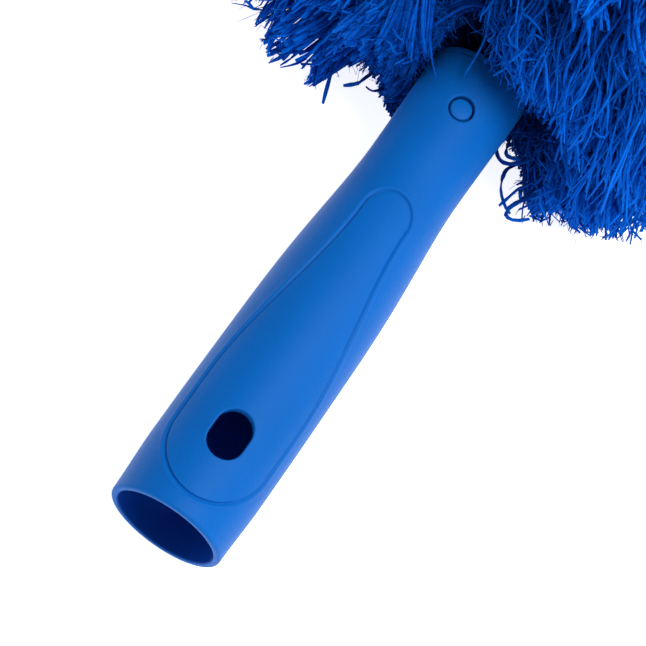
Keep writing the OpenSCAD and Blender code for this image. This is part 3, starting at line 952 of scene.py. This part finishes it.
def comb_locks(comb):
    """The locks of one comb, spread evenly between its two guides."""
    _, root_s, left, right, locks, n, width, curl, spread = comb
    paths, widths = [], []
    for i in range(locks):
        f = (i + rng.uniform(0.1, 0.9)) / locks
        guide = np.array(left) * (1 - f) + np.array(right) * f
        first = np.array([[root_s + rng.uniform(-4, 4), 0, 0]])
        first[:, 1:] += ROOT_R * unit(guide[0, 1:])
        guide = np.vstack([first, guide])
        guide[2:] += rng.normal(0, 1, (len(guide) - 2, 3)) * [1.0, 1.0, 1.4] * (0.4 + curl)
        offset = rng.normal(0, 1, (n, 1, 3)) * spread * np.array([0.45, 0.5, 0.45])
        grow = np.concatenate([[0.1, 0.6], np.linspace(1.0, 0.75, len(guide) - 2)])
        controls = guide + offset * grow[:, None]
        controls[:, 3:] += rng.normal(0, 1, (n, len(guide) - 3, 3)) * curl * 1.7
        ends = rng.uniform(0.9, 1.0, n)
        drift = np.full(n, 0.3 + 0.7 * curl)
        paths.append(strand_paths(controls, drift, np.full(n, curl * 0.9), ends))
        widths.append(width * rng.uniform(0.85, 1.12, n))
    return gather(paths, widths)


# Locks all round the core: the first turns lie back over the handle, the others make the outline
LOCKS_ROUND, REAR_TURNS = 34, 5
WIDEST_ANGLE, TIP_ANGLE = 108, 8
# Where the rear hangs over the handle's front: turns, middle azimuth, half width, tone kept as
# painted shade, clearance
FRONT_TURNS, FRONT_MID, FRONT_HALF, FRONT_SHADE, FRONT_CLEAR = 3, 0.12, 0.9, 0.55, 7
# On the left, where the azimuth's sine is over LEFT_FROM, the locks are fuller, wider and straighter
LEFT_FROM, LEFT_MORE, LEFT_SPREAD, LEFT_CURLY, RIGHT_CURLY = 0.2, 1.4, 1.25, 0.25, 0.85
CURLED, STRAIGHT, SPREAD = (1.2, 2.6), (0.08, 0.3), (2.8, 5.0)
CURLED_WIDTH, STRAIGHT_WIDTH, BODY_DRIFT = 0.85, 1.15, 0.8


def rear_tip(turn, azimuth):
    """Where a rear turn's strands end: further back low on the +Y side, and clear of the front."""
    h = (turn + rng.uniform(0, 1)) / REAR_TURNS
    side = smooth_step((1 - math.cos(azimuth)) / 1.3)
    reach = -2 if math.sin(azimuth) > 0 else 1 + 12 * h * h
    return 156 + 9 * h + side * (reach - 9 * h - 8) + rng.uniform(-2, 2), 21 + 53 * h ** 0.9


def rear_course(turn, azimuth, root_s, front):
    """A rear lock's tip (distance, radius), the way it flows there, and its shoulder."""
    s, r = rear_tip(turn, azimuth)
    s += FRONT_CLEAR if front else 0
    flow = np.array([-0.95, 0, 0]) + radial(azimuth) * 0.3 + DOWN * 0.35
    if azimuth < 0:
        flow = flow + radial(azimuth) * 0.25 + DOWN * 0.2 + np.array([0, -0.3, 0])
    shoulder = np.array([root_s * 0.55 + (s + 14) * 0.45, 0, 0]) + radial(azimuth) * r * 0.92
    return s, r, flow, shoulder


def outline_angle(share):
    """The outline's angle at a share of the way from behind the widest place to the tip."""
    t = np.radians(np.linspace(WIDEST_ANGLE, TIP_ANGLE, 240))
    steps = np.linalg.norm(np.diff(np.stack(head_outline(t), -1), axis=0), axis=1)
    far = np.concatenate([[0], np.cumsum(steps)])
    return float(np.interp(share * far[-1], far, t))


def outer_course(turn, azimuth, root_s):
    """The same as rear_course, for a lock that ends on the head's outline."""
    t = outline_angle((turn - REAR_TURNS + rng.uniform(0, 1)) / (TURNS - REAR_TURNS))
    s, r = head_outline(np.array(t))
    shrink = rng.uniform(0.9, 1.0)
    s, r = HEAD_S + (s - HEAD_S) * shrink, r * shrink
    flow = np.array([0.9 * math.cos(t) - 0.2, 0, 0]) + radial(azimuth) * 0.7 + DOWN * 0.5
    shoulder = np.array([root_s * 0.6 + s * 0.4, 0, 0]) + radial(azimuth) * r * 0.66
    return s, r, flow, shoulder


def body_locks(turn):
    """The locks of one turn of the core, all round it: their paths, widths and tones kept."""
    paths, widths = [], []
    for i in range(LOCKS_ROUND):
        azimuth = 2 * math.pi * (i + 0.5 * (turn % 2) + rng.uniform(-0.3, 0.3)) / LOCKS_ROUND
        azimuth = (azimuth + math.pi) % (2 * math.pi) - math.pi
        root_s = YARN_FROM + (YARN_TO - YARN_FROM) * (turn + rng.uniform(0.05, 0.95)) / TURNS
        rear, left = turn < REAR_TURNS, math.sin(azimuth) > LEFT_FROM
        front = turn < FRONT_TURNS and abs(azimuth - FRONT_MID) < FRONT_HALF
        n = int(rng.integers(15, 22) * (LEFT_MORE if rear and left else 1))
        n = n // 2 if front else n
        s, r, flow, shoulder = (rear_course(turn, azimuth, root_s, front) if rear
                                else outer_course(turn, azimuth, root_s))
        flow = unit(flow + rng.normal(0, 0.14, 3))
        swing = azimuth + rng.normal(0, 0.08)
        tip = np.array([s, 0, 0]) + radial(swing) * r
        root = np.array([root_s, 0, 0]) + radial(azimuth) * ROOT_R
        rise = root + radial(azimuth) * r * 0.4
        back = tip - flow * rng.uniform(14, 24)
        guide = np.array([root, rise, shoulder, back, tip - flow * 6, tip])
        curly = rng.uniform() < (LEFT_CURLY if left else RIGHT_CURLY)
        curl = rng.uniform(*(CURLED if curly else STRAIGHT))
        spread = rng.uniform(*SPREAD) * (LEFT_SPREAD if left else 1)
        offset = rng.normal(0, 1, (n, 1, 3)) * spread * 0.6
        grow = np.array([0.12, 0.55, 1.0, 1.0, 0.9, 0.85])[:, None]
        controls = guide + offset * grow
        controls[:, 3:] += rng.normal(0, 1, (n, 3, 3)) * (0.5 + curl)
        controls[:, 0, 0] += rng.normal(0, 1.5, n)
        ends = rng.uniform(0.86, 1.0, n)
        line, kept = strand_paths(controls, np.full(n, BODY_DRIFT), np.full(n, curl), ends)
        # Front locks lie deep in the head's shadow: their tone is cut as painted shade
        paths.append((line, kept * (FRONT_SHADE if front else 1)))
        width = CURLED_WIDTH if curly else STRAIGHT_WIDTH
        widths.append(np.full(n, width) * rng.uniform(0.85, 1.15, n))
    return gather(paths, widths)


def fibres_from(start, way, length, u):
    """Straight fibres with points at shares u of their length."""
    return start[:, None] + way[:, None] * length[:, None, None] * u[None, :, None]


def fuzz(paths, count):
    """Thin loose fibres that leave the strands and curl beside them."""
    pick = rng.integers(0, len(paths), count)
    ring = rng.integers(RINGS // 2, RINGS - 1, count)
    start = paths[pick, ring]
    way = unit(unit(paths[pick, ring + 1] - start) + rng.normal(0, 0.55, (count, 3)))
    length = rng.uniform(2, 5, count)
    u = np.linspace(0, 1, 7)
    fibres = fibres_from(start, way, length, u)
    fibres += rng.normal(0, 1, (count, 1, 3)) * 2.4 * (u ** 2)[None, :, None]
    fibres += wander(count, len(u), rng.uniform(0.6, 1.6, count), np.full(count, 0.9), 1.0)
    return settle(fibres, FIBRE_GAP)


def fray(paths, count):
    """Split ends: a few fibres that fan out of a strand's cut end."""
    pick = rng.integers(0, len(paths), count)
    end = paths[pick, -1]
    way = unit(unit(end - paths[pick, -3]) + rng.normal(0, 0.28, (count, 3)))
    length = rng.uniform(0.8, 2.2, count)
    u = np.linspace(-0.4, 1, 5)
    fibres = fibres_from(end, way, length, u)
    fibres += rng.normal(0, 0.25, (count, 1, 3)) * (u ** 2)[None, :, None]
    return settle(fibres, FIBRE_GAP)


def join(parts):
    """One set of arrays from several swept sets."""
    verts, walls, caps, wall_uv, cap_uv, start = [], [], [], [], [], 0
    for v, w, c, wu, cu in parts:
        verts.append(v)
        walls.append(w + start)
        caps.append(c + start)
        wall_uv.append(wu.reshape(-1, 2))
        cap_uv.append(cu.reshape(-1, 2))
        start += len(v)
    return np.concatenate(verts), walls, caps, wall_uv, cap_uv


BODY_FIBRES, COMBED_FIBRES = (420, 350), (1100, 300)
FIBRE_SIZE, SPLIT_SIZE = (0.16, 0.14), (0.3, 0.2)


def make_strands(name, node, sets, strays, fibres, splits, material):
    """One piece of yarn: its locks, its loose fibres, its split ends and its stray strands."""
    paths, widths, reach = (np.concatenate([s[i] for s in sets]) for i in range(3))
    loose, ends = fuzz(paths, fibres), fray(paths, splits)
    for _, width, tone, points in strays:
        line, kept = strand_paths(np.array([points], float), np.zeros(1), np.full(1, 0.15),
                                  np.ones(1), None)
        # A stray's tone kept darkens it as painted shade
        paths, widths, reach = (np.concatenate([paths, line]), np.concatenate([widths, [width]]),
                                np.concatenate([reach, kept * tone]))
    parts = [sweep(paths, widths, widths * FLATNESS, SIDES, reach)]
    for fine, (width, thick) in ((loose, FIBRE_SIZE), (ends, SPLIT_SIZE)):
        parts.append(sweep(fine, np.full(len(fine), width), np.full(len(fine), thick), 3))
    verts, walls, caps, wall_uv, cap_uv = join(parts)
    make_piece(name, verts, walls + caps, material, BODY, [node], wall_uv + cap_uv)


def make_yarn(material):
    """The yarn of each turn, with the combed locks of the rear turns in pieces of their own."""
    for turn in range(TURNS):
        node = f"yarn_turn_{turn + 1:02d}"
        make_strands(f"{node}_strands", node, [body_locks(turn)], [], *BODY_FIBRES, material)
        combs = [comb_locks(comb) for comb in COMBS if comb[0] == turn]
        if combs:
            strays = [stray for stray in STRAYS if stray[0] == turn]
            make_strands(f"{node}_combed", node, combs, strays, *COMBED_FIBRES, material)


# ------------ assembly

def finish_cad_nodes():
    """Gives the CAD nodes that are carried over their materials."""
    plug = moulded_plastic("plug_plastic", MOULDED_BLUE, 0.25)
    wire = wire_metal("drawn_wire", STEEL, 0.3)
    sleeve = wire_metal("crimped_sleeve", SLEEVE_STEEL, 0.38)
    finishes = {"head_plug": plug, "tip_cap": plug, "core_wire_a": wire, "core_wire_b": wire,
                "crimp_sleeve": sleeve}
    for node, material in finishes.items():
        mesh = frame["nodes"][node].data
        mesh.materials.clear()
        mesh.materials.append(material)


make_stage(make_camera())
make_handle(moulded_plastic("handle_plastic", MOULDED_BLUE, 0.6, shade_inside=True))
make_button(moulded_plastic("button_plastic", BUTTON_BLUE, 0.3))
make_spring(wire_metal("spring_wire", SPRING_STEEL, 0.28))
make_yarn(yarn_material())
finish_cad_nodes()
